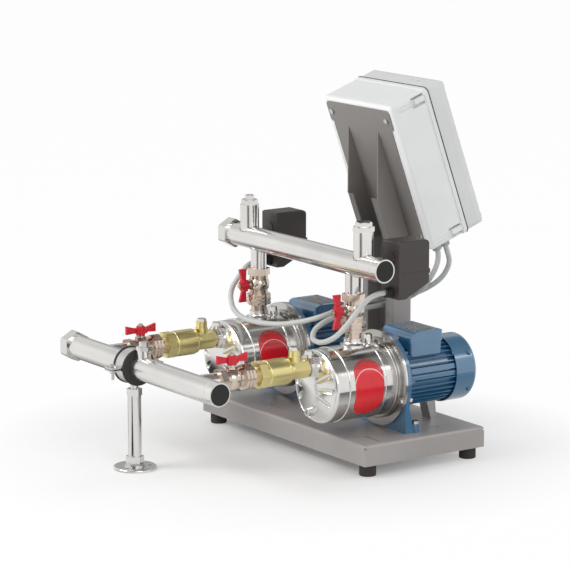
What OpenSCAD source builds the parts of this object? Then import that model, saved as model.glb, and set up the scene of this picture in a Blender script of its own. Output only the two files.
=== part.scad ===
// Twin booster pump set: two horizontal pumps on a folded tray between a suction
// and a delivery manifold, with a tilted control panel on a channel column.
// Millimetres, +Z up. X runs along the manifolds, Y along the pump shafts.

/* [Tray] */
// Length of the tray along the manifolds
tray_l = 590; // [580:1:620]
// Width of the tray along the pump shafts
tray_w = 300; // [294:1:320]
// Height of the folded skirt
tray_h = 43; // [38:0.5:52]
// Height of the rubber feet
foot_h = 24; // [18:0.5:32]
// Radius of a rubber foot
foot_r = 17.25; // [14:0.25:20]

/* [Layout] */
// Distance between the two pump lines
pump_pitch = 340; // [336:1:346]
// Height of the pump shafts above the tray
shaft_rise = 102; // [101:0.5:106]
// Distance of the suction manifold in front of the tray middle
suction_reach = 480; // [478:1:490]
// Height of the delivery manifold above the pump shafts
delivery_rise = 241; // [239:1:246]
// Length of each manifold from cap to open end
manifold_l = 560; // [550:1:566]

/* [Pipework] */
// Outside diameter of the manifold pipe
pipe_d = 48.3; // [47:0.1:50]
// Wall of the manifold pipe
pipe_t = 2.9; // [2.4:0.1:3.6]
// Outside diameter of the branch pipes
branch_d = 33.7; // [32:0.1:34]
// Length of the butterfly handles
handle_l = 70; // [64:1:76]
// Width across the flats of the valve hexagons
valve_af = 42; // [40:0.5:44]
// Lift of the check valve poppets
poppet_lift = 8; // [5:0.5:9]

/* [Pumps] */
// Radius of the pressed pump casing
casing_r = 76; // [74:0.5:77]
// Radius of the pump flange
flange_r = 98; // [95:0.5:99]
// Radius over the motor fins
motor_r = 65.5; // [63:0.5:67]
// Angle between the motor fins
fin_step = 10; // [8:1:15]
// Radius of the fan cover
cover_r = 69.5; // [69:0.5:72]
// Radius of the pump shaft
shaft_r = 9; // [8:0.5:10]

/* [Panel] */
// Width of the column
column_w = 106; // [100:1:112]
// Depth of the column
column_d = 52; // [48:1:56]
// Height of the column above the tray, at its back
column_h = 346; // [340:1:352]
// Sheet thickness of the column and the bracket
sheet = 2.5; // [2:0.1:3]
// Backward tilt of the enclosure in degrees
tilt = 20; // [15:1:25]
// Width of the enclosure
box_w = 240; // [230:1:250]
// Height of the enclosure
box_h = 326; // [320:1:332]
// Depth of the enclosure body
box_d = 96; // [92:0.5:100]
// Depth of the enclosure lid
lid_d = 52; // [48:0.5:56]

/* [Support pole] */
// Diameter of the pole
pole_d = 26.9; // [24:0.1:30]
// Radius of the pole's foot disc
disc_r = 44; // [42:0.5:48]
// Diameter of the bolt circle in the foot disc
disc_pcd = 60; // [56:1:64]

/* [Hidden] */
$fn = 64;

frame_y = 128.27;
tray_top = foot_h + tray_h;
tray_t = 3;
pump_x = pump_pitch / 2;
axis_z = tray_top + shaft_rise;
suction_y = -suction_reach;
suction_z = axis_z + 42;
delivery_y = -90;
delivery_z = axis_z + delivery_rise;
valve_y = suction_y + 97;
valve_z = delivery_z - 95;
check_y = valve_y + 55;
pipe_r = pipe_d / 2;
branch_r = branch_d / 2;
open_x = manifold_l - 284;
pole_x = -38;
foot_x = 86;
foot_y = 4;
rest_y = 105;
bolt_ring = (casing_r + flange_r) / 2 + 4;
column_back = 145;
mitre_z = tray_top + column_h;
box_mid = 152;
lid_y = box_d + 1.8;
switch_x = 216;
switch_z = tray_top + 273;
cable_r = 5.5;
liner_r = pipe_r + 9;
gland_d = [34, 56];

route_a = [[-216, -46, 353], [-214, -70, 353], [-212, -92, 346], [-212, -112, 326], [-210, -132, 300],
    [-192, -144, 275], [-168, -149, 261], [-140, -150, 254], [-104, -146, 251], [-70, -138, 252],
    [-30, -126, 256], [8, -113, 265], [40, -100, 275], [60, -80, 285], [58, -55, 290], [46, -25, 292],
    [30, 10, 292], [12, 50, 290], [-4, 95, 286], [-8, 125, 283], [-8, 150, 281], [6, 168, 287],
    [26, 180, 298], [46, 194, 311], [66, 209, 330], [78, 218, 352], [84, 219, 370], [85, 215.1, 384.2],
    [85, 208.2, 403], [85, 201.4, 421.8]];
route_b = [[218, -46, 353], [222, -72, 352], [230, -100, 345], [234, -126, 327], [226, -146, 300],
    [206, -153, 278], [178, -154, 262], [148, -152, 252], [120, -147, 249], [100, -140, 251],
    [90, -130, 262], [90, -114, 274], [90, -96, 281], [80, -72, 282], [62, -40, 282], [42, 0, 281],
    [24, 45, 279], [12, 95, 278], [8, 125, 279], [8, 150, 281], [18, 163, 288], [36, 171, 300],
    [56, 177, 318], [71, 182, 339], [80, 187, 359], [84, 189.5, 378], [85, 187.6, 395.5],
    [85, 180.7, 414.3]];

function unit(v) = v / norm(v);
function heading(p, i) = unit(p[min(i + 1, len(p) - 1)] - p[max(i - 1, 0)]);
function carry(p, i) = i == 0
    ? unit(cross(heading(p, 0), [0.3, 0.2, 1]))
    : let (n = carry(p, i - 1), t = heading(p, i)) unit(n - t * (n * t));

// Round tube along a list of points
module swept(p, r, sides) {
    last = len(p) - 1;
    points = [for (i = [0:last]) let (n = carry(p, i), b = cross(heading(p, i), n))
        for (k = [0:sides - 1]) p[i] + r * (n * cos(360 * k / sides) + b * sin(360 * k / sides))];
    lower = [for (i = [0:last - 1]) for (k = [0:sides - 1])
        [i * sides + k, (i + 1) * sides + k, (i + 1) * sides + (k + 1) % sides]];
    upper = [for (i = [0:last - 1]) for (k = [0:sides - 1])
        [i * sides + k, (i + 1) * sides + (k + 1) % sides, i * sides + (k + 1) % sides]];
    ends = [[for (k = [0:sides - 1]) k], [for (k = [0:sides - 1]) last * sides + sides - 1 - k]];
    polyhedron(points, concat(lower, upper, ends));
}

module rod_x(r, x0, x1) {
    translate([x0, 0, 0]) rotate([0, 90, 0]) cylinder(r = r, h = x1 - x0);
}

module rod_y(r, y0, y1) {
    translate([0, y0, 0]) rotate([-90, 0, 0]) cylinder(r = r, h = y1 - y0);
}

module rod_z(r, z0, z1) {
    translate([0, 0, z0]) cylinder(r = r, h = z1 - z0);
}

module hex_z(af, z0, z1) {
    translate([0, 0, z0]) cylinder(r = af / sqrt(3), h = z1 - z0, $fn = 6);
}

module hex_y(af, y0, y1) {
    translate([0, y0, 0]) rotate([-90, 0, 0]) cylinder(r = af / sqrt(3), h = y1 - y0, $fn = 6);
}

module span(x0, x1, y0, y1, z0, z1) {
    translate([x0, y0, z0]) cube([x1 - x0, y1 - y0, z1 - z0]);
}

module rounded(w, h, r) {
    square([w - 2 * r, h], center = true);
    square([w, h - 2 * r], center = true);
    for (sx = [-1, 1]) for (sy = [-1, 1]) translate([sx * (w / 2 - r), sy * (h / 2 - r)]) circle(r);
}

// Outline with both corners rounded at its far end only
module round_far(w, d, r) {
    translate([-w / 2, 0]) square([w, d - r]);
    translate([r - w / 2, 0]) square([w - 2 * r, d]);
    for (s = [-1, 1]) translate([s * (w / 2 - r), d - r]) circle(r);
}

// Block with rounded corners, and rounded edges on its far face
module soft_block(w, h, d, rc, re) {
    intersection() {
        translate([0, d, 0]) rotate([90, 0, 0]) linear_extrude(d) rounded(w, h, rc);
        translate([0, 0, -h / 2]) linear_extrude(h) round_far(w, d, re);
        translate([-w / 2, 0, 0]) rotate([90, 0, 90]) linear_extrude(w) rotate(-90) round_far(h, d, re);
    }
}

module placed() {
    translate([0, frame_y, 0]) children();
}

module both_pumps() {
    for (s = [-1, 1]) translate([s * pump_x, 0, 0]) children();
}

// Frame of the tilted panel: Y away from the bracket, Z up along the enclosure
module tilted() {
    translate([0, column_back, mitre_z]) rotate([tilt, 0, 0]) children();
}

module boxed() {
    tilted() translate([0, 0, box_mid]) children();
}

// Valve frames: flow along local Z, stem along local Y
module suction_valve(s) {
    translate([s * pump_x, valve_y, suction_z]) rotate([-90, 0, 0]) rotate([0, 0, 180]) children();
}

module delivery_valve(s) {
    translate([s * pump_x, delivery_y, valve_z]) rotate([180, 0, 0]) children();
}

module all_valves() {
    for (s = [-1, 1]) suction_valve(s) children();
    for (s = [-1, 1]) delivery_valve(s) children();
}

module check_frame(s) {
    translate([s * pump_x, check_y, suction_z]) rotate([-90, 0, 0]) rotate([0, 0, 180]) children();
}

module tray_block(l, w, h, r) {
    intersection() {
        translate([-l / 2, 0, 0]) rotate([90, 0, 90]) linear_extrude(l) round_far(w, h, r);
        translate([0, w / 2, 0]) rotate([90, 0, 0]) linear_extrude(w) round_far(l, h, r);
    }
}

module base_tray() {
    corner_x = tray_l / 2 - 24;
    corner_y = tray_w / 2 - 24;
    color("#9d9a98") placed() difference() {
        union() {
            difference() {
                translate([0, 0, foot_h]) tray_block(tray_l, tray_w, tray_h, 6);
                translate([0, 0, foot_h - 1])
                    tray_block(tray_l - 2 * tray_t, tray_w - 2 * tray_t, tray_h - tray_t + 1, 3);
            }
            for (s = [-1, 1]) translate([0, s * (tray_w / 2 - 25), foot_h + 1.5])
                cube([tray_l - 4, 46, 3], center = true);
        }
        for (sx = [-1, 1]) for (sy = [-1, 1]) {
            translate([sx * corner_x, sy * corner_y, 0]) rod_z(4.3, foot_h - 5, foot_h + 8);
            translate([sx * (tray_l / 2 - 1.5), sy * (tray_w / 2 - 1.5), 0]) rod_z(2.6, tray_top - 9, tray_top - 5);
        }
        for (x = [-251, -82, 82, 251]) translate([x, -102, tray_top - 5]) linear_extrude(10) rounded(61, 4, 1.9);
        for (sx = [-1, 1]) translate([sx * 244, 60, tray_top - 5])
            linear_extrude(10) rounded(4, 22, 1.9);
        both_pumps() {
            for (s = [-1, 1]) translate([s * foot_x, foot_y, 0]) rod_z(4.3, tray_top - 8, tray_top + 2);
            translate([0, rest_y, 0]) rod_z(4.3, tray_top - 8, tray_top + 2);
        }
        for (s = [-1, 1]) translate([s * 30, 119, 0]) rod_z(4.3, tray_top - 8, tray_top + 2);
    }
}

module base_feet() {
    color("#3a3433") placed() for (sx = [-1, 1]) for (sy = [-1, 1])
        translate([sx * (tray_l / 2 - 24), sy * (tray_w / 2 - 24), 0]) difference() {
            rotate_extrude() {
                translate([0, 2]) square([foot_r, foot_h - 3]);
                square([foot_r - 2, foot_h]);
                translate([foot_r - 2, 2]) circle(2);
            }
            rod_z(8, -1, 9);
            rod_z(4.2, 5, foot_h + 1);
        }
}

// Lipped channel section, open towards local -Y
module channel_outline() {
    difference() {
        translate([0, -column_d / 2]) rounded(column_w, column_d, 5);
        translate([0, -column_d / 2]) rounded(column_w - 2 * sheet, column_d - 2 * sheet, 2.5);
        translate([0, -column_d]) square([column_w - 42, 12], center = true);
    }
}

module panel_column() {
    color("#9b9693") placed() difference() {
        union() {
            translate([0, column_back, tray_top]) linear_extrude(column_h + 20) channel_outline();
            span(3 - column_w / 2, column_w / 2 - 3, column_back - 48, column_back - 2, tray_top, tray_top + 4);
        }
        translate([0, column_back, mitre_z]) rotate([tilt / 2, 0, 0]) span(-90, 90, -120, 60, 0, 80);
        translate([0, 0, tray_top + 214]) rod_y(19, column_back - 8, column_back + 4);
        for (s = [-1, 1]) translate([s * 30, 119, 0]) rod_z(4.3, tray_top - 2, tray_top + 8);
    }
}

module panel_bracket() {
    flank = 259;
    rise = (column_d - sheet) / tan(tilt);
    color("#9b9693") placed() difference() {
        tilted() {
            translate([0, 0, 283]) rotate([90, 0, 0]) linear_extrude(sheet) rounded(218, 46, 9);
            translate([0, 0, 134]) rotate([90, 0, 0]) linear_extrude(sheet) rounded(202, 256, 6);
            translate([0, 0, -30]) linear_extrude(flank - rise + 30) channel_outline();
            for (s = [-1, 1]) translate([s * (column_w / 2 - sheet / 2) - sheet / 2, 0, 0])
                rotate([90, 0, 90]) linear_extrude(sheet)
                    polygon([[-1, flank], [1 - column_d, flank - rise], [-1, flank - rise]]);
        }
        translate([0, column_back, mitre_z]) rotate([tilt / 2, 0, 0]) span(-130, 130, -120, 60, -90, 0.2);
        tilted() for (s = [-1, 1]) for (z = [20, 284])
            translate([s * 95, 0, z]) rod_y(3.2, -10, 10);
    }
}

// Hexagon bolt standing on z = 0 with its shank below
module bolt(af, head, r, shank) {
    hex_z(af, 0, head);
    rod_z(r * 2.1, 0, 1.2);
    rod_z(r, -shank, 0.5);
}

module frame_bolts() {
    color("#c9c9c6") placed() {
        for (sx = [-1, 1]) for (sy = [-1, 1])
            translate([sx * (tray_l / 2 - 24), sy * (tray_w / 2 - 24), 9]) rotate([180, 0, 0]) {
                rod_z(7.6, 0, 3);
                rod_z(4, -26, 1);
                hex_z(13, -foot_h + 9 - 9.5, -foot_h + 9 - 3);
            }
        both_pumps() {
            for (s = [-1, 1]) translate([s * foot_x, foot_y, tray_top + 18]) bolt(13, 6, 4, 25);
            translate([0, rest_y, tray_top - 3]) rotate([180, 0, 0]) bolt(13, 6, 4, 16);
        }
        for (s = [-1, 1]) translate([s * 30, 119, tray_top + 4]) bolt(13, 6, 4, 11);
        tilted() for (s = [-1, 1]) for (z = [20, 284]) translate([s * 95, -sheet, z]) rotate([90, 0, 0]) {
            rod_z(5.5, 0, 3.5);
            rod_z(3, -9, 1);
        }
    }
}

module enclosure_body() {
    color("#dcdddc") placed() boxed() difference() {
        union() {
            translate([0, box_d, 0]) mirror([0, 1, 0]) soft_block(box_w, box_h, box_d, 10, 8);
            translate([0, box_d, 0]) rotate([90, 0, 0]) linear_extrude(9) rounded(box_w + 4, box_h + 4, 12);
            for (z = [-100, 100]) for (e = [-1, 1]) translate([-box_w / 2 - 7.5, box_d + 0.3, z + e * 16]) {
                rod_z(5, -5, 5);
                span(0, 7, -9, -0.8, -5, 5);
            }
        }
        difference() {
            translate([0, box_d + 1, 0]) mirror([0, 1, 0])
                soft_block(box_w - 6, box_h - 6, box_d - 2, 8, 6);
            for (sx = [-1, 1]) for (sz = [-1, 1]) translate([sx * 84, 0, sz * 126]) rod_y(7, 0, 14);
            for (sx = [-1, 1]) for (sz = [-1, 1])
                translate([sx * (box_w / 2 - 4), 0, sz * (box_h / 2 - 15)]) rod_y(13, 0, 94);
        }
        for (sx = [-1, 1]) for (sz = [-1, 1]) translate([sx * box_w / 2, 0, sz * (box_h / 2 - 15)]) {
            rod_y(5, 12, 60);
            difference() {
                rod_y(11.5, 52, 84);
                translate([-sx * 3.5, 0, 0]) rod_y(6.5, 50, 86);
            }
        }
        for (z = [-100, 100]) translate([-box_w / 2 - 7.5, box_d + 0.3, z]) {
            rod_z(2.5, -30, 30);
            rod_z(5.35, -11.4, 11.4);
        }
        for (d = gland_d) translate([85, d, 0]) rod_z(8.2, -box_h / 2 - 10, -box_h / 2 + 10);
        for (sx = [-1, 1]) for (z = [20, 284]) translate([sx * 95, 0, z - box_mid]) rod_y(3.05, -5, 12);
    }
}

module mounting_plate() {
    color("#b9bcbd") placed() boxed() {
        difference() {
            translate([0, 16, 0]) rotate([90, 0, 0]) linear_extrude(2) rounded(196, 284, 4);
            for (sx = [-1, 1]) for (sz = [-1, 1]) translate([sx * 84, 0, sz * 126]) rod_y(2.6, 10, 20);
        }
        for (z = [-96, 52]) {
            span(-80, 80, 16, 17, z - 12, z + 12);
            for (s = [-1, 1]) span(-80, 80, 17, 23.5, z + s * 12 - 0.7, z + s * 12 + 0.7);
            for (s = [-1, 1]) span(-80, 80, 22.5, 23.5, z + s * 14.7 - 2.9, z + s * 14.7 + 2.9);
        }
    }
}

module contactors() {
    color("#3d4042") placed() boxed() for (x = [-52, 0, 52]) translate([x, 23.7, 52]) {
        span(-22.5, 22.5, 0, 42, -40, 40);
        span(-22.5, 22.5, 42, 58, -24, 24);
        span(-16, 16, 58, 62, -14, 14);
        for (i = [-1, 0, 1]) for (s = [-1, 1]) translate([i * 13, 0, s * 32]) rod_y(4, 41, 44);
    }
}

module terminal_strip() {
    color("#b7b9b4") placed() boxed() for (i = [-6:6]) translate([i * 11, 23.7, -96]) {
        span(-5.2, 5.2, 0, 30, -22, 22);
        span(-5.2, 5.2, 30, 38, -10, 10);
        for (s = [-1, 1]) translate([0, 0, s * 16]) rod_y(3, 29, 31.5);
    }
}

// Cable gland pointing along local -Z from a wall at z = 0
module gland() {
    difference() {
        union() {
            hex_z(20, -5, 0);
            rod_z(10.2, -13, -5);
            rotate_extrude() {
                translate([0, -18]) square([7.6, 5]);
                translate([7.6, -15.4]) circle(2.6);
            }
            rod_z(8, -1, 8);
        }
        rod_z(cable_r + 0.4, -30, 20);
    }
}

module cable_glands() {
    color("#8f9496") placed() {
        boxed() for (d = gland_d) translate([85, d, -box_h / 2 - 0.05]) gland();
        for (x = [-switch_x, switch_x + 2]) translate([x, -31, tray_top + 286]) rotate([-90, 0, 0]) gland();
    }
}

// Manifold pipe along X with its open spigot at +X
module manifold_pipe() {
    rod_x(pipe_r, -278, open_x - 22);
    rod_x(pipe_r - 0.25, open_x - 24, open_x);
}

module suction_manifold() {
    color("#c9c8c4") placed() translate([0, suction_y, suction_z]) difference() {
        union() {
            manifold_pipe();
            both_pumps() rod_y(branch_r, 0, 74);
            rod_z(14, 0, 39);
        }
        rod_x(pipe_r - pipe_t, -290, open_x + 10);
        both_pumps() rod_y(branch_r - 3.2, 0, 90);
        rod_z(9.6, 0, 60);
    }
}

module delivery_manifold() {
    color("#c9c8c4") placed() translate([0, delivery_y, delivery_z]) difference() {
        union() {
            manifold_pipe();
            both_pumps() rod_z(branch_r, -72, 0);
            for (s = [-1, 1]) translate([s * 204, 0, 0]) rod_z(20, 0, 70);
            for (x = [-switch_x, switch_x]) translate([x, 0, 0]) rod_y(11, 0, 36);
        }
        rod_x(pipe_r - pipe_t, -290, open_x + 10);
        both_pumps() rod_z(branch_r - 3.2, -90, 0);
        for (s = [-1, 1]) translate([s * 204, 0, 0]) rod_z(16, 0, 90);
        for (x = [-switch_x, switch_x]) translate([x, 0, 0]) rod_y(7.6, 0, 50);
    }
}

module each_manifold() {
    translate([0, suction_y, suction_z]) children();
    translate([0, delivery_y, delivery_z]) children();
}

module end_caps() {
    color("#cfc5bb") placed() each_manifold() difference() {
        intersection() {
            translate([-284, 0, 0]) rotate([0, 90, 0]) cylinder(r = 31.5, h = 26, $fn = 6);
            rod_x(30.4, -284, -258);
        }
        rod_x(pipe_r + 0.05, -278.2, -250);
    }
}

module end_plugs() {
    color("#2e2e2e") placed() each_manifold() difference() {
        rod_x(pipe_r - pipe_t - 0.05, open_x - 12, open_x - 0.8);
        rod_x(pipe_r - pipe_t - 5, open_x - 20, open_x - 3);
    }
}

// Hexagon plug standing on z = 0 with a threaded shank below
module plug(af, head, r, shank) {
    intersection() {
        hex_z(af, 0, head);
        rotate_extrude() polygon([[0, 0], [af * 0.577, 0], [af * 0.577, head - 1.5], [af * 0.5, head], [0, head]]);
    }
    rod_z(r, -shank, 0.5);
}

module pipe_plugs() {
    color("#cfc5bb") placed() {
        translate([0, suction_y, suction_z + 39]) {
            plug(27, 8, 9.5, 14);
            hex_z(17, 7, 17);
        }
        translate([204, delivery_y, delivery_z + 70]) {
            plug(38, 11, 15.9, 18);
            plug(30, 20, 8, 2);
        }
        translate([-204, delivery_y, delivery_z + 70]) {
            plug(31, 11, 15.9, 18);
            plug(17, 20, 6, 2);
        }
        for (s = [-1, 1]) check_frame(s) translate([0, 0, 94]) rotate([-90, 0, 0]) translate([0, 0, 40])
            plug(17, 6, 6.4, 10);
        both_pumps() translate([0, 0, axis_z]) {
            translate([0, -197, -50]) difference() {
                union() {
                    rod_y(8.6, -7, 0);
                    rod_y(4.9, -1, 6);
                }
                hex_y(8, -8, -2);
            }
            translate([0, -198, 68]) plug(16, 8, 4.9, 3);
            translate([0, -53, casing_r + 8]) plug(14, 9, 4.9, 10);
        }
    }
}

// Union tail along local Z, from its collar to the given end
module tail(end) {
    difference() {
        union() {
            rod_z(19.4, 30.3, 35);
            rod_z(branch_r - 0.05, 34, end);
        }
        rod_z(branch_r - 3.2, 20, end + 10);
    }
}

module pipe_nipples() {
    color("#cfc5bb") placed() {
        for (s = [-1, 1]) suction_valve(s) tail(68);
        for (s = [-1, 1]) delivery_valve(s) tail(68);
        for (s = [-1, 1]) check_frame(s) difference() {
            rod_z(branch_r - 0.05, 107, 134);
            rod_z(branch_r - 3.2, 100, 150);
        }
        for (x = [-switch_x, switch_x]) translate([x, 0, delivery_z]) difference() {
            union() {
                rod_y(7.5, delivery_y + 28, -22);
                hex_y(19, delivery_y + 36.2, -33);
            }
            rod_y(3, delivery_y, 0);
        }
    }
}

module valve_body() {
    difference() {
        union() {
            intersection() {
                hex_z(valve_af, -34, -20);
                rod_z(valve_af * 0.56, -34, -20);
            }
            rod_z(19.5, -21, 20);
            sphere(r = 22.6);
            rod_z(20.4, 17, 29);
            rotate([-90, 0, 0]) {
                rod_z(9, 0, 28.5);
                hex_z(20, 20, 24.5);
            }
        }
        rod_z(branch_r + 0.05, -40, -21.5);
        rod_z(12.5, -30, 40);
        rod_z(15.05, -16.2, 16.2);
        sphere(r = 17.2);
        rotate([-90, 0, 0]) rod_z(5.05, 0, 40);
    }
}

module valve_bodies() {
    color("#cfc5bb") placed() all_valves() valve_body();
}

module union_nuts() {
    color("#cfc5bb") placed() all_valves() difference() {
        intersection() {
            translate([0, 0, 20.4]) cylinder(r = 26.4, h = 22.6, $fn = 8);
            rotate_extrude() {
                translate([0, 20.4]) square([23.4, 22.6]);
                for (z = [20.4, 28.2, 36]) translate([0, z + 0.9]) square([25.6, 5.4]);
            }
        }
        rod_z(20.5, 10, 30.2);
        rod_z(19.5, 20, 35.1);
        rod_z(branch_r, 30, 60);
    }
}

module valve_seats() {
    color("#e9e7df") placed() all_valves() difference() {
        for (s = [-1, 1]) translate([0, 0, s * 13.6]) cylinder(r = 15, h = 5, center = true);
        rod_z(12.55, -20, 20);
        sphere(r = 16.8);
    }
}

module valve_ball() {
    difference() {
        sphere(r = 16.5);
        rod_z(12.5, -20, 20);
    }
    rotate([-90, 0, 0]) {
        rod_z(5, 14.5, 44);
        hex_z(11, 46, 50);
        rod_z(4, 43, 52);
    }
}

// Butterfly handle: two upright wings, taller at their tips, on a hub around the stem
module valve_handle() {
    tip = handle_l / 2;
    difference() {
        union() {
            rotate([-90, 0, 0]) {
                rod_z(9.5, 29.2, 42);
                rod_z(9, 41, 46.5);
            }
            span(-7.5, 7.5, 32, 43, -12, 12);
            for (s = [-1, 1]) translate([-3, 0, 0]) rotate([90, 0, 90]) linear_extrude(6)
                polygon([[34, s * 10], [32.6, s * tip], [50, s * tip], [43, s * 10]]);
        }
        rotate([-90, 0, 0]) {
            rod_z(5.02, 20, 60);
            rod_z(7.7, 45.8, 60);
        }
    }
}

module suction_handle_a() {
    color("#d81f33") placed() suction_valve(1) valve_handle();
}

module suction_handle_b() {
    color("#d81f33") placed() suction_valve(-1) valve_handle();
}

module delivery_handle_a() {
    color("#d81f33") placed() delivery_valve(1) valve_handle();
}

module delivery_handle_b() {
    color("#d81f33") placed() delivery_valve(-1) valve_handle();
}

module suction_ball_a() {
    color("#cfc5bb") placed() suction_valve(1) valve_ball();
}

module suction_ball_b() {
    color("#cfc5bb") placed() suction_valve(-1) valve_ball();
}

module delivery_ball_a() {
    color("#cfc5bb") placed() delivery_valve(1) valve_ball();
}

module delivery_ball_b() {
    color("#cfc5bb") placed() delivery_valve(-1) valve_ball();
}

module check_valve() {
    difference() {
        union() {
            intersection() {
                hex_z(50, 0, 20);
                rod_z(28, 0, 20);
            }
            rotate_extrude() {
                translate([0, 18]) square([25.5, 4]);
                translate([0, 24]) square([27, 44]);
                translate([0, 22]) square([25, 54]);
                translate([25, 24]) circle(2);
                translate([0, 68]) square([19, 18]);
                translate([19, 68]) circle(8);
            }
            intersection() {
                hex_z(37, 84, 120);
                rod_z(20, 84, 120);
            }
            translate([0, 0, 94]) rotate([-90, 0, 0]) {
                rod_z(11.5, 0, 40);
                rod_z(13, 0, 26);
            }
        }
        rod_z(branch_r + 0.05, -5, 14);
        rod_z(12.5, 10, 30);
        rod_z(19.5, 26, 72);
        rod_z(13, 70, 108);
        rod_z(branch_r + 0.05, 106, 130);
        translate([0, 0, 94]) rotate([-90, 0, 0]) rod_z(6.5, 0, 50);
    }
    difference() {
        union() {
            rod_z(6.5, 60, 66);
            for (i = [0:2]) rotate([0, 0, 120 * i]) span(4, 20, -2.5, 2.5, 60, 66);
        }
        rod_z(3.06, 50, 70);
    }
}

module check_valves() {
    color("#c0ad55") placed() for (s = [-1, 1]) check_frame(s) check_valve();
}

module poppet() {
    rod_z(16.5, 26.4, 30.4);
    rod_z(11, 23.5, 27);
    rod_z(3, 30, 67);
}

module spring() {
    swept([for (i = [0:40]) [9 * cos(45 * i), 9 * sin(45 * i), 31.6 + 27.2 * i / 40]], 0.9, 6);
}

module poppet_a() {
    color("#d8c477") placed() check_frame(1) poppet();
}

module poppet_b() {
    color("#d8c477") placed() check_frame(-1) poppet();
}

module spring_a() {
    color("#d0d0ce") placed() check_frame(1) spring();
}

module spring_b() {
    color("#d0d0ce") placed() check_frame(-1) spring();
}

// Round-ended groove along local X
module flute(run, r) {
    rod_x(r, 0, run);
    sphere(r = r);
    translate([run, 0, 0]) sphere(r = r);
}

// Places its children at the four bolts of the pump flange
module flange_bolts() {
    for (i = [0:3]) rotate([0, 22 + 90 * i, 0]) translate([bolt_ring, 0, 0]) children();
}

module casing_outline() {
    translate([0, -182.5]) square([casing_r - 7.5, 20]);
    translate([casing_r - 7.5, -175.5]) circle(7);
    translate([0, -175.5]) square([casing_r - 0.5, 26]);
    translate([0, -150]) square([casing_r, 125]);
    translate([casing_r - 0.5, -150]) circle(2);
    translate([casing_r - 0.5, -62]) circle(1.8);
    translate([0, -27.2]) square([flange_r, 3.2]);
}

// Flared collar along local Z, from a tube of radius r to its foot at z = 0
module flare(r, turn) {
    rotate_extrude() difference() {
        translate([0, -16]) square([r + turn, 16 + turn]);
        translate([r + turn, turn]) circle(turn);
    }
}

module pump_casing() {
    dome_r = 152;
    difference() {
        union() {
            rotate([-90, 0, 0]) rotate_extrude() casing_outline();
            intersection() {
                translate([0, dome_r - 198, 0]) sphere(r = dome_r, $fn = 128);
                rod_y(casing_r - 8, -200, -170);
            }
            translate([0, 0, 42]) {
                rod_y(21, -205, -176);
                rod_y(24, -195, -180);
            }
            intersection() {
                span(-21, 21, -187.5, -176, 42, 90);
                rod_y(casing_r - 6, -200, -170);
            }
            translate([0, -198, 0]) rod_z(8, 50, 68);
            translate([0, delivery_y, casing_r + 1]) flare(19.5, 7);
            translate([0, delivery_y, 0]) rod_z(19.5, 60, casing_r + 13);
            translate([0, -53, 0]) rod_z(9, 60, casing_r + 8);
            translate([0, 0, -50]) rod_y(9.5, -197, -180);
        }
        intersection() {
            translate([0, dome_r - 198, 0]) sphere(r = dome_r - 6, $fn = 128);
            rod_y(casing_r - 14, -200, -160);
        }
        rotate([-90, 0, 0]) rotate_extrude() {
            translate([0, -178]) square([casing_r - 9, 20]);
            translate([0, -173]) square([casing_r - 3, 160]);
            translate([casing_r - 6, -183.6]) circle(2.4);
        }
        translate([0, 0, 42]) rod_y(branch_r + 0.05, -210, -193);
        translate([0, 0, 42]) rod_y(branch_r - 3.2, -210, -170);
        translate([0, delivery_y, 0]) rod_z(branch_r + 0.05, casing_r - 2, casing_r + 20);
        translate([0, delivery_y, 0]) rod_z(branch_r - 3.2, 50, 110);
        translate([0, -53, 0]) rod_z(5, 50, 110);
        translate([0, -198, 0]) rod_z(5, 50, 72);
        translate([0, 0, -50]) rod_y(5, -210, -170);
        flange_bolts() rod_y(4.3, -30, -20);
        for (a = [-30, 0, 30, 150, 180, 210]) rotate([0, -a, 0]) translate([28, -203.4, 0]) rotate([0, 0, 22])
            flute(34, 8);
    }
}

module pump_casings() {
    color("#d2d2d0") placed() both_pumps() translate([0, 0, axis_z]) pump_casing();
}

module clamp_rings() {
    color("#c4c4c2") placed() both_pumps() translate([0, 0, axis_z]) difference() {
        rotate([-90, 0, 0]) rotate_extrude() {
            translate([casing_r + 0.2, -40]) square([4, 12.6]);
            translate([casing_r + 4.2, -38]) circle(2);
            translate([casing_r + 0.2, -33]) square([4.4, 5.6]);
            translate([casing_r + 4.6, -31.4]) circle(1.4);
            translate([casing_r + 0.2, -30.4]) square([flange_r - casing_r - 0.2, 3]);
        }
        flange_bolts() rod_y(4.3, -60, 0);
    }
}

module pump_bolts() {
    color("#c9c9c6") placed() both_pumps() translate([0, 0, axis_z])
        flange_bolts() {
            hex_y(12, -36.4, -30.4);
            rod_y(4, -31, -5);
            hex_y(12, -13.8, -8);
        }
}

module diffusers() {
    color("#b9b9b7") placed() both_pumps() translate([0, 0, axis_z]) rotate([-90, 0, 0])
        for (y = [-168, -132, -96]) rotate_extrude() {
            translate([casing_r - 6, y]) square([2.4, 34]);
            translate([16, y + 31.6]) square([casing_r - 22 + 2, 2.4]);
            translate([casing_r - 14, y + 20]) square([9, 2]);
        }
}

// Impeller stage along local Z: two shrouds, a hub and curved vanes
module impeller() {
    rotate_extrude() {
        translate([shaft_r + 0.02, 0]) square([6, 20]);
        translate([shaft_r + 0.02, 16]) square([46, 2]);
        translate([24, 4]) square([31, 2]);
    }
    for (i = [0:5]) rotate([0, 0, 60 * i]) translate([0, 0, 5]) linear_extrude(12) intersection() {
        difference() {
            translate([30, -24]) circle(36);
            translate([30, -24]) circle(34);
        }
        difference() {
            circle(54);
            circle(14);
        }
        translate([10, 0]) square([60, 60]);
    }
}

module impeller_set(s) {
    color("#b5b5b1") placed() translate([s * pump_x, 0, axis_z]) rotate([-90, 0, 0])
        for (y = [-164, -128, -92]) translate([0, 0, y]) impeller();
}

module impellers_a() {
    impeller_set(1);
}

module impellers_b() {
    impeller_set(-1);
}

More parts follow.
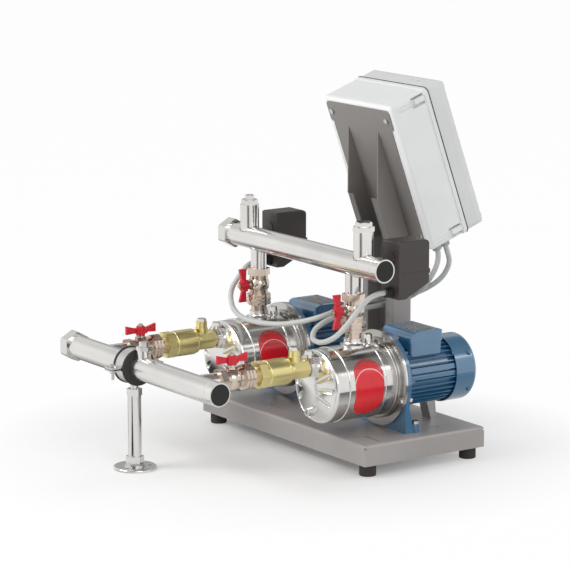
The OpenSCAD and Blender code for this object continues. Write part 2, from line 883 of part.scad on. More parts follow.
module motor_brackets() {
    color("#1f5f92") placed() both_pumps() translate([0, 0, axis_z]) {
        difference() {
            union() {
                rotate([-90, 0, 0]) rotate_extrude() {
                    translate([0, -23.8]) square([flange_r - 1, 10]);
                    translate([0, -15]) square([72, 9]);
                    translate([0, -15]) square([motor_r - 6, 25]);
                }
                for (i = [0:7]) rotate([0, 45 * i, 0]) span(40, 80, -15, 6, -3, 3);
                span(-90, 90, -23.8, -14, -shaft_rise, -30);
                for (s = [-1, 1]) translate([s * 86 - 4, 0, 0]) rotate([90, 0, 90]) linear_extrude(8)
                    polygon([[-15, -48], [-11, -66], [-7, -84], [0, -91], [0, -shaft_rise], [-15, -shaft_rise]]);
                for (s = [-1, 1]) translate([s * foot_x, foot_y, 0]) rod_z(9, -shaft_rise, -shaft_rise + 18);
            }
            rod_y(shaft_r + 1, -40, 40);
            rod_y(24, -2, 30);
            flange_bolts() rod_y(4.3, -60, 0);
            rod_y(motor_r - 8, 2, 60);
            rod_y(motor_r + 0.4, 10.2, 60);
            for (s = [-1, 1]) translate([s * foot_x, foot_y, 0]) rod_z(4.3, -120, -60);
        }
        difference() {
            translate([-14, 0, 0]) rotate([90, 0, 90]) linear_extrude(28)
                polygon([[85, -56], [108, -56], [112, -shaft_rise], [98, -shaft_rise]]);
            rod_y(motor_r + 0.2, 80, 120);
            translate([0, rest_y, 0]) rod_z(4.3, -120, -shaft_rise + 14);
        }
    }
}

module motor_outline() {
    difference() {
        union() {
            circle(motor_r - 8.5);
            for (a = [fin_step / 2:fin_step:359]) rotate(a) translate([30, -1.2]) square([motor_r - 30, 2.4]);
            for (s = [-1, 1]) for (z = [3, 17]) translate([s * (motor_r / 2 + 14), z])
                square([motor_r - 30, 10], center = true);
        }
        circle(motor_r - 13);
    }
}

module motor_frames() {
    color("#1f5f92") placed() both_pumps() translate([0, 0, axis_z]) difference() {
        union() {
            intersection() {
                translate([0, 128, 0]) rotate([90, 0, 0]) linear_extrude(117.6) motor_outline();
                rod_y(motor_r, 0, 140);
            }
            rod_y(motor_r - 10, 112, 128);
            rod_y(34, 100, 113);
        }
        rod_y(shaft_r + 1, 90, 140);
        rod_y(20, 90, 116);
    }
}

module fan_covers() {
    color("#1f5f92") placed() both_pumps() translate([0, 0, axis_z]) {
        difference() {
            rotate([-90, 0, 0]) rotate_extrude() difference() {
                union() {
                    translate([0, 122]) square([cover_r, 44]);
                    translate([0, 122]) square([cover_r - 10, 54]);
                    translate([cover_r - 10, 166]) circle(10);
                }
                translate([0, 120]) square([cover_r - 1.6, 46]);
                translate([0, 120]) square([cover_r - 10, 54.4]);
                translate([cover_r - 10, 166]) circle(8.4);
            }
            for (i = [0:11]) rotate([0, 30 * i, 0]) {
                translate([30, 190, 0]) rotate([90, 0, 0]) linear_extrude(30) rounded(22, 5, 2.4);
                translate([48, 190, 0]) rotate([90, 0, 0]) linear_extrude(30) rounded(14, 7, 3.4);
            }
        }
        for (a = [33, 147, 213, 327]) rotate([0, -a, 0]) translate([cover_r - 1, 160, 0]) rotate([0, 90, 0]) {
            hex_z(8, 0, 5);
            rod_z(5.2, 0, 2);
        }
    }
}

// Side outline of a terminal box lid, with a long round at its front
module lid_side() {
    translate([-42, 0]) square([84, 5]);
    translate([-24, 5]) circle(18);
    translate([-24, 0]) square([60, 23]);
    translate([30, 0]) square([12, 17]);
    translate([36, 17]) circle(6);
}

module terminal_boxes() {
    color("#1f5f92") placed() both_pumps() translate([0, 59, axis_z]) {
        difference() {
            translate([0, 0, 30]) linear_extrude(40) rounded(98, 80, 8);
            rod_y(motor_r + 0.3, -60, 80);
        }
        intersection() {
            translate([-51, 0, 70.4]) rotate([90, 0, 90]) linear_extrude(102) lid_side();
            translate([0, 0, 70.4]) linear_extrude(24) rounded(102, 84, 9);
        }
        translate([0, 5, 93.2]) linear_extrude(0.8) rounded(70, 48, 3);
        for (sx = [-1, 1]) for (y = [-18, 31]) translate([sx * 43, y, 92]) rod_z(3.5, 0, 2.4);
    }
}

module stators() {
    color("#b06a3a") placed() both_pumps() translate([0, 0, axis_z]) difference() {
        union() {
            rod_y(motor_r - 13.1, 30, 96);
            rod_y(motor_r - 17, 18, 99);
        }
        rod_y(34, 10, 110);
    }
}

module bearings() {
    color("#c9c9c6") placed() both_pumps() translate([0, 0, axis_z]) rotate([-90, 0, 0])
        for (b = [[-1.9, 23.9], [103, 19.9]]) difference() {
            rotate_extrude() difference() {
                translate([shaft_r + 0.06, b[0]]) square([b[1] - shaft_r - 0.06, 12]);
                for (z = [b[0], b[0] + 12]) translate([(b[1] + shaft_r) / 2 - 1.5, z - 1]) square([3, 2]);
            }
        }
}

module rotor(s) {
    color("#a9abac") placed() translate([s * pump_x, 0, axis_z]) {
        rod_y(shaft_r, -178, 158);
        rod_y(33, 32, 94);
        for (y = [28, 94]) difference() {
            rod_y(32, y, y + 4);
            rod_y(24, y - 1, y + 6);
        }
        hex_y(14, -182, -174);
    }
}

module rotor_a() {
    rotor(1);
}

module rotor_b() {
    rotor(-1);
}

module cooling_fan(s) {
    color("#2f3436") placed() translate([s * pump_x, 0, axis_z]) difference() {
        union() {
            rod_y(15, 138, 156);
            rod_y(44, 138, 141);
            for (i = [0:8]) rotate([0, 40 * i, 0]) span(8, 57, 139, 156, -1.2, 1.2);
        }
        rod_y(shaft_r + 0.02, 130, 170);
    }
}

module cooling_fan_a() {
    cooling_fan(1);
}

module cooling_fan_b() {
    cooling_fan(-1);
}

module switch_side() {
    difference() {
        union() {
            translate([-31, 0]) square([75, 108]);
            translate([-31, 100]) square([66, 12]);
            translate([-26, 100]) square([61, 17]);
            translate([-26, 112]) circle(5);
            translate([35, 108]) circle(9);
            translate([40, 48]) square([7, 9]);
        }
        polygon([[-16, -1], [46, -1], [46, 30]]);
    }
}

module pressure_switches() {
    color("#3f3a39") placed() for (x = [-switch_x, switch_x]) translate([x, 0, switch_z]) difference() {
        union() {
            intersection() {
                translate([-28, 0, 0]) rotate([90, 0, 90]) linear_extrude(56) switch_side();
                translate([0, 60, 0]) rotate([90, 0, 0]) linear_extrude(120) round_far(56, 117, 5);
            }
            translate([0, 0, 82]) rod_y(13, -32.5, -20);
            translate([0, 0, 52]) span(-28.6, 28.6, -20, 40, -1, 1);
        }
        translate([0, 0, delivery_z - switch_z]) rod_y(7.6, -40, -20);
        translate([x > 0 ? 2 : 0, 0, 13]) rod_y(8.3, -40, -20);
        translate([x > 0 ? 2 : 0, 0, 13]) rod_y(cable_r + 0.4, -40, -10);
    }
}

module cable_a() {
    color("#c6c8c6") placed() swept(route_a, cable_r, 10);
}

module cable_b() {
    color("#c6c8c6") placed() swept(route_b, cable_r, 10);
}

module support_pole() {
    color("#cfcfcc") placed() translate([pole_x, suction_y, 0]) difference() {
        union() {
            rod_z(pole_d / 2, 4, suction_z - 46);
            rotate_extrude() {
                square([disc_r - 3, 6]);
                square([disc_r, 3]);
                translate([disc_r - 3, 3]) circle(3);
            }
            hex_z(32, 5, 26);
            rod_z(21, 5, 9);
            hex_z(27, suction_z - 60, suction_z - 46);
            rod_z(8, suction_z - 48, suction_z - liner_r - 5.45);
        }
        for (i = [0:2]) rotate([0, 0, 60 + 120 * i]) translate([disc_pcd / 2, 0, 0]) rod_z(3.5, -5, 12);
        rod_z(pole_d / 2 - 3, -5, suction_z - 64);
    }
}

module pipe_clamp() {
    color("#c4c4c2") placed() translate([pole_x, suction_y, suction_z]) {
        for (s = [-1, 1]) difference() {
            union() {
                rod_x(liner_r + 2.85, -15, 15);
                span(-15, 15, -60, 60, 1.2, 4);
                span(-15, 15, -60, 60, -4, -1.2);
            }
            rod_x(liner_r + 0.25, -20, 20);
            span(-30, 30, -70, 70, s > 0 ? -60 : -1.2, s > 0 ? 1.2 : 60);
            for (y = [-50, 50]) translate([0, y, 0]) rod_z(3.2, -10, 10);
        }
        for (y = [-50, 50]) translate([0, y, 4.05]) {
            hex_z(11, 0, 5);
            rod_z(3.1, -26, 1);
            hex_z(11, -13, -8.15);
        }
        rod_z(8, -liner_r - 5.25, -liner_r - 1.45);
    }
}

module clamp_liner() {
    color("#2b2b2b") placed() translate([pole_x, suction_y, suction_z]) difference() {
        union() {
            rod_x(liner_r, -19, 19);
            for (s = [-1, 1]) translate([s * 17.1, 0, 0]) rod_x(liner_r + 4.35, -1.9, 1.9);
        }
        rod_x(pipe_r + 0.05, -30, 30);
        span(-30, 30, 10, 60, -0.8, 0.8);
    }
}

module hinge_pins() {
    color("#8f9496") placed() boxed() for (z = [-100, 100]) translate([-box_w / 2 - 7.5, box_d + 0.3, z])
        rod_z(2.45, -20.8, 20.8);
}

module enclosure_lid() {
    color("#e2e3e2") placed() boxed() difference() {
        union() {
            translate([0, lid_y, 0]) soft_block(box_w + 2, box_h + 4, lid_d, 18, 24);
            for (z = [-100, 100]) translate([-box_w / 2 - 7.5, box_d + 0.3, z]) {
                rod_z(5, -10.6, 10.6);
                span(0, 9, 0.8, 5, -10.6, 10.6);
            }
        }
        translate([0, lid_y + 8, 0]) soft_block(box_w - 4, box_h - 2, lid_d - 11, 14, 20);
        translate([0, lid_y + 9, 0]) rotate([90, 0, 0]) linear_extrude(20) rounded(box_w - 22, box_h - 20, 5);
        for (z = [-100, 100]) translate([-box_w / 2 - 7.5, box_d + 0.3, z]) rod_z(2.53, -30, 30);
        for (x = [46, 66]) span(x - 3, x + 3, lid_y + 17, lid_y + 24, box_h / 2 + 0.5, box_h / 2 + 4);
        for (sx = [-1, 1]) for (sz = [-1, 1]) translate([sx * 105, 0, sz * (box_h / 2 - 15)]) {
            rod_y(3.2, lid_y - 5, lid_y + lid_d + 5);
            rod_y(6.4, lid_y + lid_d - 9, lid_y + lid_d + 5);
        }
        translate([0, 0, 40]) rod_y(6.2, lid_y + 20, lid_y + 80);
        for (x = [-60, -20, 20, 60]) translate([x, 0, 106]) rod_y(8.2, lid_y + 20, lid_y + 80);
    }
}

module lid_gasket() {
    color("#2b2b2b") placed() boxed() translate([0, lid_y - 0.1, 0]) rotate([90, 0, 0]) linear_extrude(1.4)
        difference() {
            rounded(box_w - 4, box_h - 2, 8);
            rounded(box_w - 14, box_h - 12, 6);
        }
}

module lid_screws() {
    color("#8f9496") placed() boxed() for (sx = [-1, 1]) for (sz = [-1, 1])
        translate([sx * 105, 0, sz * (box_h / 2 - 15)]) difference() {
            union() {
                rod_y(6.2, lid_y + lid_d - 8.9, lid_y + lid_d - 3.5);
                rod_y(3, lid_y + 0.4, lid_y + lid_d - 8);
            }
            span(-7, 7, lid_y + lid_d - 5.5, lid_y + lid_d, -0.8, 0.8);
        }
}

module lid_fittings() {
    face = lid_y + lid_d;
    color("#3a3c3e") placed() boxed() {
        difference() {
            translate([0, face + 4.05, 40]) rotate([90, 0, 0]) linear_extrude(4) rounded(64, 64, 6);
            translate([0, 0, 40]) rod_y(6.2, face - 5, face + 10);
        }
        for (x = [-60, -20, 20, 60]) translate([x, 0, 106]) {
            rod_y(14, face + 0.05, face + 4);
            rod_y(8, face - 12, face + 2);
            intersection() {
                rod_y(10.5, face, face + 12);
                translate([0, face - 1, 0]) sphere(r = 13);
            }
        }
    }
}

module main_switch_knob() {
    face = lid_y + lid_d + 4.4;
    color("#c8202c") placed() boxed() translate([0, 0, 40]) {
        rotate([-90, 0, 0]) rotate_extrude() {
            translate([0, face]) square([22, 6]);
            translate([0, face]) square([20, 8]);
            translate([20, face + 6]) circle(2);
            translate([0, face - 16]) square([6, 17]);
        }
        translate([0, face + 7, 0]) soft_block(13, 42, 16, 5, 3);
    }
}

base_tray();
base_feet();
panel_column();
panel_bracket();
frame_bolts();
enclosure_body();
mounting_plate();
contactors();
terminal_strip();
cable_glands();
suction_manifold();
delivery_manifold();
end_caps();
end_plugs();
pipe_plugs();
pipe_nipples();
valve_bodies();
union_nuts();
valve_seats();
check_valves();
pump_casings();
clamp_rings();
diffusers();
pump_bolts();
motor_brackets();
motor_frames();
fan_covers();
terminal_boxes();
stators();
bearings();
pressure_switches();
cable_a();
cable_b();
support_pole();
pipe_clamp();
clamp_liner();
hinge_pins();
enclosure_lid();
lid_gasket();
lid_screws();
lid_fittings();
main_switch_knob();
suction_handle_a();
suction_handle_b();
suction_ball_a();
suction_ball_b();
delivery_handle_a();
delivery_handle_b();
delivery_ball_a();
delivery_ball_b();
rotor_a();
rotor_b();
impellers_a();
impellers_b();
cooling_fan_a();
cooling_fan_b();
poppet_a();
poppet_b();
spring_a();
spring_b();
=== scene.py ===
"""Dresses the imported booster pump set: cables, labels, weld beads, finishes, floor, light and camera."""

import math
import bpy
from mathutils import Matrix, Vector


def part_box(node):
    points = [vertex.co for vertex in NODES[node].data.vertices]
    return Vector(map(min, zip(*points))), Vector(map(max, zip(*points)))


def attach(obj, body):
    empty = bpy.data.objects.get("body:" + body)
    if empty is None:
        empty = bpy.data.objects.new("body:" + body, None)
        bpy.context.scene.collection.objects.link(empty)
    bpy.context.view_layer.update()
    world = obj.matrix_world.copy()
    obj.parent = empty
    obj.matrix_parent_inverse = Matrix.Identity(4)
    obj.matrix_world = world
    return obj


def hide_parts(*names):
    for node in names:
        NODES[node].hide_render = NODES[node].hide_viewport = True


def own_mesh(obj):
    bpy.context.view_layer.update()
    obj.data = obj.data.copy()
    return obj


bl_info = {
    "name": "Booster Pump Set",
    "version": (1, 0, 0),
    "blender": (4, 5, 0),
    "location": "View3D > Sidebar > Booster Set",
    "description": "Dresses the packed booster pump set with cables, labels, finishes and a stage",
    "category": "Object",
}

import bmesh
import bpy
from bpy.props import FloatProperty, FloatVectorProperty, PointerProperty
from mathutils import Vector

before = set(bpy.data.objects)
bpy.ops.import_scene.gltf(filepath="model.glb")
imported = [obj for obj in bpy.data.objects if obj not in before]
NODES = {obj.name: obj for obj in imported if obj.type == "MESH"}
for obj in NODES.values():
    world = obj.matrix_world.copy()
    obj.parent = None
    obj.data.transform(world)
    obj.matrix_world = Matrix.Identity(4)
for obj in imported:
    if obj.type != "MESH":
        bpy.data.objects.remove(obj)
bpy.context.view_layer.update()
TRAY_LOW, TRAY_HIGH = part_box("base_tray")
TRAY_Y = (TRAY_LOW.y + TRAY_HIGH.y) / 2
PUMP_X = 0.170
SHAFT_Z = 0.169
SUCTION_Z = 0.211
CAMERA_TURN, CAMERA_LIFT, CAMERA_DISTANCE = math.radians(55.51), math.radians(10.96), 5.9884
CAMERA_TARGET = (-65.25, -94.97, 329.08)
PHOTO_WIDTH, FOCAL_PIXELS, SENSOR_WIDTH = 570, 2886.5, 36
PANEL_TILT, PANEL_FOOT_Y, PANEL_FOOT_Z = math.radians(20), 145, 413
WORLD_FILL, WORLD_WHITE = 0.42, 1.0
SEEN_RAYS = ("Is Camera Ray", "Is Glossy Ray", "Is Transmission Ray")
LAMPS = [("key", (-0.9, -2.9, 2.2), 1.8, 78), ("side", (3.0, -0.6, 1.8), 1.6, 20),
         ("back", (1.7, 2.3, 2.5), 1.6, 24)]
SWITCH_GLANDS_TOP = 0.372
REAR_REST_Y = 0.08
PLATE_RISE, PLATE_HALF_WIDE = 0.0938, 0.0355


def tone(red, green, blue):
    """A colour given as 0 to 255 screen values, turned into the linear values that shaders use."""
    return tuple(c / 255 / 12.92 if c <= 10 else ((c / 255 + 0.055) / 1.055) ** 2.4
                 for c in (red, green, blue))


def at(x, y, z):
    """A point measured from the middle of the tray in millimetres, in the frame's metres."""
    return Vector((x / 1000, y / 1000 + TRAY_Y, z / 1000))


def colour_prop(name, description, default):
    return FloatVectorProperty(name=name, description=description, subtype="COLOR", size=3, min=0, max=1,
                               default=default)


def length_prop(name, description, default):
    return FloatProperty(name=name, description=description, subtype="DISTANCE", unit="LENGTH", min=0,
                         default=default)


class BoosterColours(bpy.types.PropertyGroup):
    """Colours of the set's finishes."""

    tray: colour_prop("Tray", "Satin sheet of the tray", tone(172, 168, 166))
    # The bracket's tone is darker than the column's, though both are the same satin steel: painted shade.
    bracket: colour_prop("Bracket", "Satin sheet of the bracket", tone(130, 126, 123))
    column: colour_prop("Column", "Satin sheet of the column", tone(160, 156, 154))
    enclosure: colour_prop("Enclosure", "Moulded enclosure", tone(236, 237, 237))
    stainless: colour_prop("Stainless", "Polished pumps and pipes", tone(226, 224, 221))
    nickel: colour_prop("Nickel", "Plated valves and fittings", tone(216, 200, 186))
    brass: colour_prop("Brass", "Check valves", tone(230, 216, 153))
    motor: colour_prop("Motor", "Motor paint", tone(42, 106, 146))
    handle: colour_prop("Handle", "Valve handles", tone(214, 30, 50))
    switch: colour_prop("Switch", "Pressure switch housing", tone(64, 58, 57))
    sheath: colour_prop("Sheath", "Cable sheath", tone(198, 200, 198))
    label: colour_prop("Label", "Pump label", tone(226, 22, 36))


class BoosterSizes(bpy.types.PropertyGroup):
    """Sizes of the pieces that the dressing adds."""

    cable: length_prop("Cable", "Diameter of the switch cables", 0.011)
    bead: length_prop("Weld bead", "Radius of the weld beads on the manifolds", 0.0016)
    lip: length_prop("Gasket lip", "Radius of the gasket's lip in the panel's seam", 0.0011)
    label_stand: length_prop("Label thickness", "Thickness of the pump labels", 0.0003)


class Value:
    """One output socket, so that shader maths reads as arithmetic."""

    def __init__(self, finish, socket):
        self.finish = finish
        self.socket = socket

    def math(self, operation, *others, flip=False):
        terms = [self, *others]
        if flip:
            terms.reverse()
        return self.finish.node("ShaderNodeMath", {"operation": operation}, dict(enumerate(terms)))

    def __add__(self, other):
        return self.math("ADD", other)

    def __sub__(self, other):
        return self.math("SUBTRACT", other)

    def __rsub__(self, other):
        return self.math("SUBTRACT", other, flip=True)

    def __mul__(self, other):
        return self.math("MULTIPLY", other)

    __radd__ = __add__
    __rmul__ = __mul__


class Finish:
    """A material under construction."""

    def __init__(self, name):
        self.material = bpy.data.materials.new(name)
        self.material.use_nodes = True
        self.tree = self.material.node_tree
        self.tree.nodes.clear()
        self.shader = self.tree.nodes.new("ShaderNodeBsdfPrincipled")
        self.output = self.tree.nodes.new("ShaderNodeOutputMaterial")
        self.tree.links.new(self.shader.outputs["BSDF"], self.output.inputs["Surface"])
        self.place = None

    def feed(self, socket, value):
        if isinstance(value, Value):
            self.tree.links.new(value.socket, socket)
        else:
            socket.default_value = value

    def node(self, kind, settings=None, sockets=None, out=0):
        """Adds a node: its settings first, then its sockets' values or links."""
        made = self.tree.nodes.new(kind)
        for key, value in (settings or {}).items():
            if key == "stops":
                stops = made.color_ramp.elements
                stops[0].position, stops[1].position = value[0][0], value[-1][0]
                for position, _ in value[1:-1]:
                    stops.new(position)
                for stop, (_, grey) in zip(stops, value):
                    stop.color = (grey, grey, grey, 1)
            else:
                setattr(made, key, value)
        for key, value in (sockets or {}).items():
            self.feed(made.inputs[key], value)
        return Value(self, made.outputs[out])

    def coords(self):
        if self.place is None:
            self.place = self.node("ShaderNodeTexCoord", out="Object")
        return self.place

    def stretched(self, scale, turn=(0, 0, 0)):
        return self.node("ShaderNodeMapping", None,
                         {"Vector": self.coords(), "Scale": scale, "Rotation": turn})

    def noise(self, scale, detail=3.0, rough=0.5, stretch=None, turn=(0, 0, 0)):
        vector = self.stretched(stretch, turn) if stretch else self.coords()
        return self.node("ShaderNodeTexNoise", None,
                         {"Vector": vector, "Scale": scale, "Detail": detail, "Roughness": rough}, "Fac")

    def ramp(self, value, *stops):
        return self.node("ShaderNodeValToRGB", {"stops": stops}, {"Fac": value})

    def mixed(self, factor, first, second):
        first, second = ((*c, 1) if isinstance(c, tuple) else c for c in (first, second))
        return self.node("ShaderNodeMix", {"data_type": "RGBA"}, {0: factor, 6: first, 7: second}, 2)

    def bump(self, height, strength, distance):
        return self.node("ShaderNodeBump", None,
                         {"Height": height, "Strength": strength, "Distance": distance})

    def surface(self, **sockets):
        for key, value in sockets.items():
            if isinstance(value, tuple):
                value = (*value, 1)
            self.feed(self.shader.inputs[key.replace("_", " ")], value)
        return self.material


def shaded(colour, factor):
    """A colour made lighter or darker."""
    return tuple(min(1, c * factor) for c in colour)


def sheet_finish(name, colour, rough):
    """Satin steel sheet: rolling lines, cloudy patches and small scuffs."""
    f = Finish(name)
    cloud = f.noise(6, 3, 0.5)
    lines = f.noise(160, 3, 0.6, stretch=(0.06, 1, 1))
    scuff = f.ramp(f.noise(70, 5, 0.7), (0.62, 0), (0.74, 1))
    base = f.mixed(f.ramp(cloud, (0.3, 0), (0.7, 1)), shaded(colour, 0.93), shaded(colour, 1.05))
    base = f.mixed(scuff * 0.18, base, shaded(colour, 1.3))
    return f.surface(Base_Color=base, Metallic=0.15, Roughness=rough + lines * 0.1 + scuff * 0.1,
                     Normal=f.bump(lines, 0.04, 0.0004))


def polished_finish(name, colour, rough, stretch, wave=0.0):
    """Polished metal: fine polishing lines one way, and faint waves where it was pressed."""
    f = Finish(name)
    lines = f.noise(420, 2, 0.6, stretch=stretch)
    patch = f.ramp(f.noise(11, 3, 0.5), (0.3, 0), (0.7, 1))
    base = f.mixed(patch, shaded(colour, 0.93), shaded(colour, 1.02))
    height = lines * 0.12 + f.noise(16, 1, 0.4) * wave
    return f.surface(Base_Color=base, Metallic=1.0, Roughness=rough + lines * 0.06 + patch * 0.03,
                     Normal=f.bump(height, 0.06, 0.001))


def plated_finish(name, colour, rough):
    """Nickel plated casting: warm metal with a slight peel and a darker film in patches."""
    f = Finish(name)
    peel = f.noise(300, 3, 0.5)
    film = f.noise(24, 4, 0.55)
    base = f.mixed(f.ramp(film, (0.38, 0), (0.7, 1)), shaded(colour, 0.84), shaded(colour, 1.04))
    return f.surface(Base_Color=base, Metallic=1.0, Roughness=rough + film * 0.09,
                     Normal=f.bump(peel, 0.05, 0.0004))


def brass_finish(colour):
    """Cast and machined brass with a faint dull film."""
    f = Finish("check_valve_brass")
    grain = f.noise(500, 3, 0.6)
    film = f.noise(18, 3, 0.5)
    base = f.mixed(f.ramp(film, (0.35, 0), (0.72, 1)), shaded(colour, 0.92), shaded(colour, 1.04))
    return f.surface(Base_Color=base, Metallic=1.0, Roughness=0.26 + film * 0.1,
                     Normal=f.bump(grain, 0.06, 0.0003))


def paint_finish(name, colour, rough, peel_scale, peel_depth):
    """Sprayed paint over a casting: peel in the coat and a paler bloom in patches."""
    f = Finish(name)
    peel = f.noise(peel_scale, 3, 0.55)
    bloom = f.ramp(f.noise(18, 4, 0.6), (0.4, 0), (0.75, 1))
    base = f.mixed(bloom * 0.3, colour, shaded(colour, 1.3))
    return f.surface(Base_Color=base, Roughness=rough + peel * 0.1, Coat_Weight=0.9 + bloom * 0.1,
                     Coat_Roughness=0.14, Coat_IOR=2.0, Normal=f.bump(peel, 0.2, peel_depth))


def moulded_finish(name, colour, rough, grain_scale=900.0, grain=0.12):
    """Moulded plastic: spark-eroded grain and a slight shift of tone."""
    f = Finish(name)
    tiny = f.noise(grain_scale, 2, 0.6)
    cloud = f.noise(8, 3, 0.5)
    base = f.mixed(f.ramp(cloud, (0.3, 0), (0.7, 1)), shaded(colour, 0.96), shaded(colour, 1.03))
    return f.surface(Base_Color=base, Roughness=rough + tiny * 0.1, Normal=f.bump(tiny, grain, 0.0004))


def rubber_finish(name, colour):
    """Dull rubber with dust in its pores."""
    f = Finish(name)
    pores = f.noise(700, 4, 0.7)
    dust = f.ramp(f.noise(40, 5, 0.7), (0.5, 0), (0.8, 1))
    base = f.mixed(dust * 0.4, colour, shaded(colour, 2.0))
    return f.surface(Base_Color=base, Roughness=0.72 + dust * 0.15, Normal=f.bump(pores, 0.2, 0.0005))


def sheath_finish(colour):
    """Cable sheath: a soft sheen and faint drawing lines."""
    f = Finish("cable_sheath")
    fine = f.noise(600, 3, 0.6)
    smear = f.ramp(f.noise(35, 4, 0.6), (0.45, 0), (0.8, 1))
    base = f.mixed(smear * 0.2, colour, shaded(colour, 0.82))
    return f.surface(Base_Color=base, Roughness=0.4 + fine * 0.1, Normal=f.bump(fine, 0.08, 0.0004))


def plate_finish():
    """Blank etched rating plate: grey metal with a fine speckle."""
    f = Finish("rating_plate")
    speck = f.ramp(f.noise(260, 3, 0.7), (0.42, 0), (0.6, 1))
    base = f.mixed(speck, tone(92, 94, 98), tone(176, 177, 179))
    return f.surface(Base_Color=base, Metallic=0.5, Roughness=0.42 + speck * 0.15,
                     Normal=f.bump(speck, 0.1, 0.0004))


def label_finish(colour):
    """Printed film on the pump: a clear rim with a red outline, a red field below and one pale arc in it."""
    f = Finish("pump_label_print")
    print_at = f.node("ShaderNodeUVMap", {"uv_map": "label"})
    split = {axis: f.node("ShaderNodeSeparateXYZ", None, {"Vector": print_at}, axis) for axis in "XY"}

    def arch(foot):
        """Distance from a line that ends at the given height, the middle of a round end."""
        over = (split["Y"] - foot).math("MAXIMUM", 0.0)
        return (split["X"] * split["X"] + over * over).math("SQRT")

    line = (split["X"] * split["X"] + (split["Y"] - 0.04) * (split["Y"] - 0.04)).math("SQRT")
    line = line.math("COMPARE", 0.527, 0.009) * split["Y"].math("GREATER_THAN", 0.2)
    field = arch(0.303).math("LESS_THAN", 0.49)
    outline = arch(0.407).math("GREATER_THAN", 0.472)
    clear = (1.0 - field) * (1.0 - outline)
    wear = f.noise(60, 4, 0.6)
    ground = f.mixed(f.ramp(wear, (0.3, 0), (0.8, 1)), shaded(colour, 0.94), shaded(colour, 1.04))
    ground = f.mixed(clear, ground, tone(176, 128, 124))
    return f.surface(Base_Color=f.mixed(line, ground, tone(250, 236, 236)), Metallic=clear * 0.8,
                     Roughness=0.2 + wear * 0.08, Coat_Weight=0.4)


def dress(material, slot, *names):
    """Gives the named solids one finish; its slot argument is not used."""
    for name in names:
        node = NODES[name]
        node.data.materials.clear()
        node.data.materials.append(material)


def second_coat(name, material, chosen):
    """Gives some faces of a solid another finish, picked by where their middles lie."""
    node = NODES[name]
    node.data.materials.append(material)
    for face in node.data.polygons:
        if chosen(node.matrix_world @ face.center):
            face.material_index = len(node.data.materials) - 1


def piece(name, mesh_maker, material, body="set"):
    """A new mesh piece made by filling a bmesh, riding on a body."""
    made = bmesh.new()
    mesh_maker(made)
    mesh = bpy.data.meshes.new(name)
    made.to_mesh(mesh)
    made.free()
    mesh.materials.append(material)
    obj = bpy.data.objects.new(name, mesh)
    bpy.context.scene.collection.objects.link(obj)
    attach(obj, body)
    return obj


class BOOSTER_OT_camera(bpy.types.Operator):
    """Places the camera as the photograph's was"""

    bl_idname = "booster.camera"
    bl_label = "Camera"

    def execute(self, context):
        level = math.cos(CAMERA_LIFT)
        back = Vector((math.sin(CAMERA_TURN) * level, -math.cos(CAMERA_TURN) * level, math.sin(CAMERA_LIFT)))
        data = bpy.data.cameras.new("camera")
        data.sensor_width = SENSOR_WIDTH
        data.lens = FOCAL_PIXELS * SENSOR_WIDTH / PHOTO_WIDTH
        data.clip_end = 60
        camera = bpy.data.objects.new("camera", data)
        camera.rotation_mode = "QUATERNION"
        camera.location = at(*CAMERA_TARGET) + back * CAMERA_DISTANCE
        camera.rotation_quaternion = (-back).to_track_quat("-Z", "Y")
        context.scene.collection.objects.link(camera)
        context.scene.camera = camera
        return {"FINISHED"}


CABLE_A = [(-216, -46, 353), (-214, -70, 353), (-212, -92, 346), (-212, -112, 326), (-210, -132, 300),
           (-192, -144, 275), (-168, -149, 261), (-140, -150, 254), (-104, -146, 251), (-70, -138, 252),
           (-30, -126, 256), (8, -113, 265), (40, -100, 275), (60, -80, 285), (58, -55, 290), (46, -25, 292),
           (30, 10, 292), (12, 50, 290), (-4, 95, 286), (-8, 125, 283), (-8, 150, 281), (6, 168, 287),
           (26, 180, 298), (46, 194, 311), (66, 209, 330), (78, 218, 352), (84, 219, 370), (85, 215.1, 384.2),
           (85, 208.2, 403), (85, 201.4, 421.8)]
CABLE_B = [(218, -46, 353), (222, -72, 352), (230, -100, 345), (234, -126, 327), (226, -146, 300),
           (206, -153, 278), (178, -154, 262), (148, -152, 252), (120, -147, 249), (100, -140, 251),
           (90, -130, 262), (90, -114, 274), (90, -96, 281), (80, -72, 282), (62, -40, 282), (42, 0, 281),
           (24, 45, 279), (12, 95, 278), (8, 125, 279), (8, 150, 281), (18, 163, 288), (36, 171, 300),
           (56, 177, 318), (71, 182, 339), (80, 187, 359), (84, 189.5, 378), (85, 187.6, 395.5),
           (85, 180.7, 414.3)]


class BOOSTER_OT_cables(bpy.types.Operator):
    """Lays the cables from the pressure switches to the glands under the panel"""

    bl_idname = "booster.cables"
    bl_label = "Cables"

    def execute(self, context):
        props = context.scene.booster_sizes
        material = sheath_finish(tuple(context.scene.booster_colours.sheath))
        for name, route in (("cable_a", CABLE_A), ("cable_b", CABLE_B)):
            points = [at(*p) for p in route]
            curve = bpy.data.curves.new("switch_" + name, "CURVE")
            curve.dimensions = "3D"
            curve.bevel_depth = props.cable / 2
            curve.bevel_resolution = 5
            curve.resolution_u = 6
            curve.use_fill_caps = True
            spline = curve.splines.new("BEZIER")
            spline.bezier_points.add(len(points) - 1)
            for knot, point in zip(spline.bezier_points, points):
                knot.co = point
                knot.handle_left_type = knot.handle_right_type = "AUTO"
            curve.materials.append(material)
            obj = bpy.data.objects.new("switch_" + name, curve)
            context.scene.collection.objects.link(obj)
            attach(obj, "set")
            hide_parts(name)
        return {"FINISHED"}


